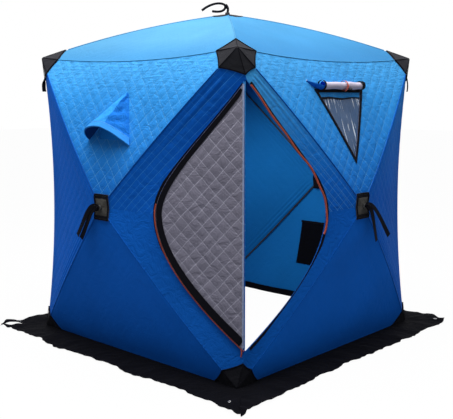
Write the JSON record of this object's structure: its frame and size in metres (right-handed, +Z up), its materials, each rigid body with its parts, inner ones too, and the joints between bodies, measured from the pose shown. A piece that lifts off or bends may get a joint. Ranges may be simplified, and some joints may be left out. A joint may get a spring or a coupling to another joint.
{
  "type": "pop-up ice fishing shelter",
  "caption": "Pop-up cube shelter for ice fishing: quilted blue cloth on a sprung hub frame, with a folded-back corner door, triangular windows, hooded vents and a black ground skirt.",
  "frame": {"origin": "middle of the footprint, on the ground", "axes": "+Z up, walls square to X and Y, front wall with a vent facing -Y, right wall with a window facing +X, door at the corner between them"},
  "size_m": [2.314, 2.314, 2.1533],
  "materials": {
    "roof_cloth": "light blue coated polyester, softly quilted",
    "quilted_cloth": "blue coated polyester, quilted in diamonds",
    "plain_cloth": "deep blue coated polyester, plain",
    "quilted_lining": "grey quilted lining outside, blue face inside",
    "black_trim": "black woven polyester",
    "skirt_cloth": "black coated polyester",
    "webbing": "ribbed black webbing",
    "pole_rod": "black glass-fibre rod",
    "moulded_hub": "black moulded nylon",
    "clear_pane": "clear flexible PVC sheet",
    "rolled_lining": "pale silvery lining, rolled"
  },
  "bodies": {
    "shelter": {"back_wall_left_side": "quilted_cloth", "back_wall_lower": "plain_cloth", "back_wall_right_side": "quilted_cloth", "back_wall_upper": "quilted_cloth", "bottom_corner_covers": "black_trim", "door_fixed_half": "quilted_cloth", "door_strip_front_lower": "plain_cloth", "door_strip_front_upper": "quilted_cloth", "door_strip_right_lower": "plain_cloth", "door_strip_right_upper": "quilted_cloth", "door_zip_tapes": "black_trim", "frame_hubs": "moulded_hub", "front_wall_left_side": "quilted_cloth", "front_wall_lower": "plain_cloth", "front_wall_upper": "quilted_cloth", "hub_patches": "black_trim", "hub_pull_straps": "webbing", "inner_pocket": "black_trim", "left_wall_left_side": "quilted_cloth", "left_wall_lower": "plain_cloth", "left_wall_right_side": "quilted_cloth", "left_wall_upper": "quilted_cloth", "poles_back": "pole_rod", "poles_front": "pole_rod", "poles_left": "pole_rod", "poles_right": "pole_rod", "poles_roof": "pole_rod", "right_wall_lower": "plain_cloth", "right_wall_right_side": "quilted_cloth", "right_wall_upper": "quilted_cloth", "roof_back": "roof_cloth", "roof_front": "roof_cloth", "roof_left": "roof_cloth", "roof_pull_strap": "webbing", "roof_right": "roof_cloth", "skirt_back": "skirt_cloth", "skirt_front": "skirt_cloth", "skirt_left": "skirt_cloth", "skirt_right": "skirt_cloth", "top_corner_covers": "black_trim", "vent_hoods": "quilted_cloth", "window_bindings": "black_trim", "window_flap_rolls": "rolled_lining", "window_panes": "clear_pane"},
    "door_leaf": {"door_flap": "quilted_lining", "door_flap_band": "black_trim"}
  },
  "joints": [
    {"name": "door_flap_swing", "type": "hinge", "parent": "shelter", "child": "door_leaf", "pos_m": [0.90389, -0.83409, 0.20025], "axis": [-0.0222, 0.0222, 0.9995], "range_deg": [0, 238.7]}
  ]
}
